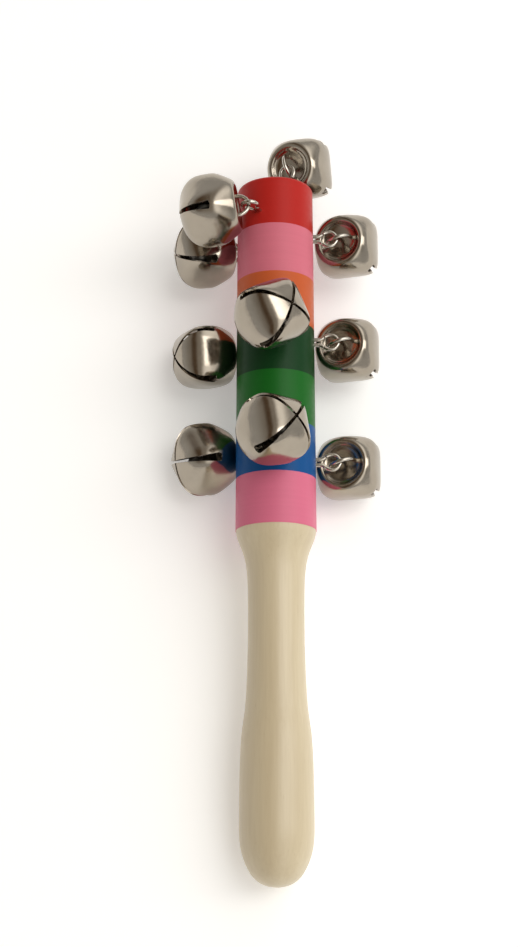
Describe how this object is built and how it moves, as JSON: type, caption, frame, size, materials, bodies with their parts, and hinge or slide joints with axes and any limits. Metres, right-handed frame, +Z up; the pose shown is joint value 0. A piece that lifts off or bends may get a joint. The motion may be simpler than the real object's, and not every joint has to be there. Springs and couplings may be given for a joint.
{
  "type": "hand-held jingle bell stick",
  "caption": "Turned wooden stick with a striped painted head and slotted jingle bells hung from wire staples, lying on its side.",
  "frame": {"origin": "middle of the footprint, on the surface that the toy lies on", "axes": "+Y along the stick towards the painted head, +Z up from the surface, +X to the right"},
  "size_m": [0.0542, 0.1942, 0.049],
  "materials": {
    "wood": "satin clear lacquer over pale hardwood",
    "paint_red": "semi-gloss enamel paint",
    "paint_pink_upper": "semi-gloss enamel paint",
    "paint_orange": "semi-gloss enamel paint",
    "paint_dark_green": "semi-gloss enamel paint",
    "paint_green": "semi-gloss enamel paint",
    "paint_blue": "semi-gloss enamel paint",
    "paint_pink_lower": "semi-gloss enamel paint",
    "bell_plate": "bright nickel plate on pressed steel",
    "bell_wire": "bright nickel plate on drawn steel wire",
    "staple_wire": "bright nickel plate on drawn steel wire",
    "pellet_steel": "plain tumbled steel"
  },
  "bodies": {
    "root": {"end_staple": "staple_wire", "front_lower_staple": "staple_wire", "front_middle_staple": "staple_wire", "front_upper_staple": "staple_wire", "left_lower_staple": "staple_wire", "left_middle_staple": "staple_wire", "left_upper_staple": "staple_wire", "paint_blue": "paint_blue", "paint_dark_green": "paint_dark_green", "paint_green": "paint_green", "paint_orange": "paint_orange", "paint_pink_lower": "paint_pink_lower", "paint_pink_upper": "paint_pink_upper", "paint_red": "paint_red", "right_lower_staple": "staple_wire", "right_middle_staple": "staple_wire", "right_upper_staple": "staple_wire", "stick": "wood"},
    "front_upper_bell": {"front_upper_shell": "bell_plate", "front_upper_bail": "bell_wire"},
    "front_upper_ball": {"front_upper_pellet": "pellet_steel"},
    "front_middle_bell": {"front_middle_shell": "bell_plate", "front_middle_bail": "bell_wire"},
    "front_middle_ball": {"front_middle_pellet": "pellet_steel"},
    "front_lower_bell": {"front_lower_shell": "bell_plate", "front_lower_bail": "bell_wire"},
    "front_lower_ball": {"front_lower_pellet": "pellet_steel"},
    "right_upper_bell": {"right_upper_shell": "bell_plate", "right_upper_bail": "bell_wire"},
    "right_upper_ball": {"right_upper_pellet": "pellet_steel"},
    "right_middle_bell": {"right_middle_shell": "bell_plate", "right_middle_bail": "bell_wire"},
    "right_middle_ball": {"right_middle_pellet": "pellet_steel"},
    "right_lower_bell": {"right_lower_shell": "bell_plate", "right_lower_bail": "bell_wire"},
    "right_lower_ball": {"right_lower_pellet": "pellet_steel"},
    "left_upper_bell": {"left_upper_shell": "bell_plate", "left_upper_bail": "bell_wire"},
    "left_upper_ball": {"left_upper_pellet": "pellet_steel"},
    "left_middle_bell": {"left_middle_shell": "bell_plate", "left_middle_bail": "bell_wire"},
    "left_middle_ball": {"left_middle_pellet": "pellet_steel"},
    "left_lower_bell": {"left_lower_shell": "bell_plate", "left_lower_bail": "bell_wire"},
    "left_lower_ball": {"left_lower_pellet": "pellet_steel"},
    "end_bell": {"end_shell": "bell_plate", "end_bail": "bell_wire"},
    "end_ball": {"end_pellet": "pellet_steel"}
  },
  "joints": [
    {"name": "front_upper_swing", "type": "hinge", "parent": "root", "child": "front_upper_bell", "pos_m": [-0.00663, 0.06882, 0.03438], "axis": [0, 0.9967, 0.0817], "range_deg": [0, 140]},
    {"name": "front_upper_roll", "type": "slide", "parent": "front_upper_bell", "child": "front_upper_ball", "axis": [0, 0, 1], "range_m": [0, 0.0043]},
    {"name": "front_middle_swing", "type": "hinge", "parent": "root", "child": "front_middle_bell", "pos_m": [-0.00668, 0.03591, 0.03177], "axis": [0, 0.9967, 0.0817], "range_deg": [-135, 4]},
    {"name": "front_middle_roll", "type": "slide", "parent": "front_middle_bell", "child": "front_middle_ball", "axis": [0, 0, 1], "range_m": [0, 0.0043]},
    {"name": "front_lower_swing", "type": "hinge", "parent": "root", "child": "front_lower_bell", "pos_m": [-0.00673, 0.00573, 0.02939], "axis": [0, 0.9967, 0.0817], "range_deg": [-140, 0]},
    {"name": "front_lower_roll", "type": "slide", "parent": "front_lower_bell", "child": "front_lower_ball", "axis": [0, 0, 1], "range_m": [0, 0.0043]},
    {"name": "right_upper_swing", "type": "hinge", "parent": "root", "child": "right_upper_bell", "pos_m": [0.01608, 0.06553, 0.02179], "axis": [0, 0.9967, 0.0817], "range_deg": [-140, 4]},
    {"name": "right_upper_roll", "type": "slide", "parent": "right_upper_bell", "child": "right_upper_ball", "axis": [0, 0, 1], "range_m": [0, 0.0043]},
    {"name": "right_middle_swing", "type": "hinge", "parent": "root", "child": "right_middle_bell", "pos_m": [0.01617, 0.03731, 0.01948], "axis": [0, 0.9967, 0.0817], "range_deg": [-140, 4]},
    {"name": "right_middle_roll", "type": "slide", "parent": "right_middle_bell", "child": "right_middle_ball", "axis": [0, 0, 1], "range_m": [0, 0.0043]},
    {"name": "right_lower_swing", "type": "hinge", "parent": "root", "child": "right_lower_bell", "pos_m": [0.01627, 0.0057, 0.01689], "axis": [0, 0.9967, 0.0817], "range_deg": [-140, 4]},
    {"name": "right_lower_roll", "type": "slide", "parent": "right_lower_bell", "child": "right_lower_ball", "axis": [0, 0, 1], "range_m": [0, 0.0043]},
    {"name": "left_upper_swing", "type": "hinge", "parent": "root", "child": "left_upper_bell", "pos_m": [-0.00916, 0.06779, 0.01024], "axis": [0, 0.9967, 0.0817], "range_deg": [-135, 4]},
    {"name": "left_upper_roll", "type": "slide", "parent": "left_upper_bell", "child": "left_upper_ball", "axis": [0, 0, 1], "range_m": [0, 0.0043]},
    {"name": "left_middle_swing", "type": "hinge", "parent": "root", "child": "left_middle_bell", "pos_m": [-0.00922, 0.03814, 0.00774], "axis": [0, 0.9967, 0.0817], "range_deg": [-135, 0]},
    {"name": "left_middle_roll", "type": "slide", "parent": "left_middle_bell", "child": "left_middle_ball", "axis": [0, 0, 1], "range_m": [0, 0.0043]},
    {"name": "left_lower_swing", "type": "hinge", "parent": "root", "child": "left_lower_bell", "pos_m": [-0.00927, 0.01148, 0.00548], "axis": [0, 0.9967, 0.0817], "range_deg": [-140, 0]},
    {"name": "left_lower_roll", "type": "slide", "parent": "left_lower_bell", "child": "left_lower_ball", "axis": [0, 0, 1], "range_m": [0, 0.0043]},
    {"name": "end_swing", "type": "hinge", "parent": "root", "child": "end_bell", "pos_m": [0.00339, 0.08631, 0.02294], "axis": [-0.8829, 0.0384, -0.4679], "range_deg": [-145, 0]},
    {"name": "end_roll", "type": "slide", "parent": "end_bell", "child": "end_ball", "axis": [0, 0, 1], "range_m": [0, 0.0043]}
  ]
}
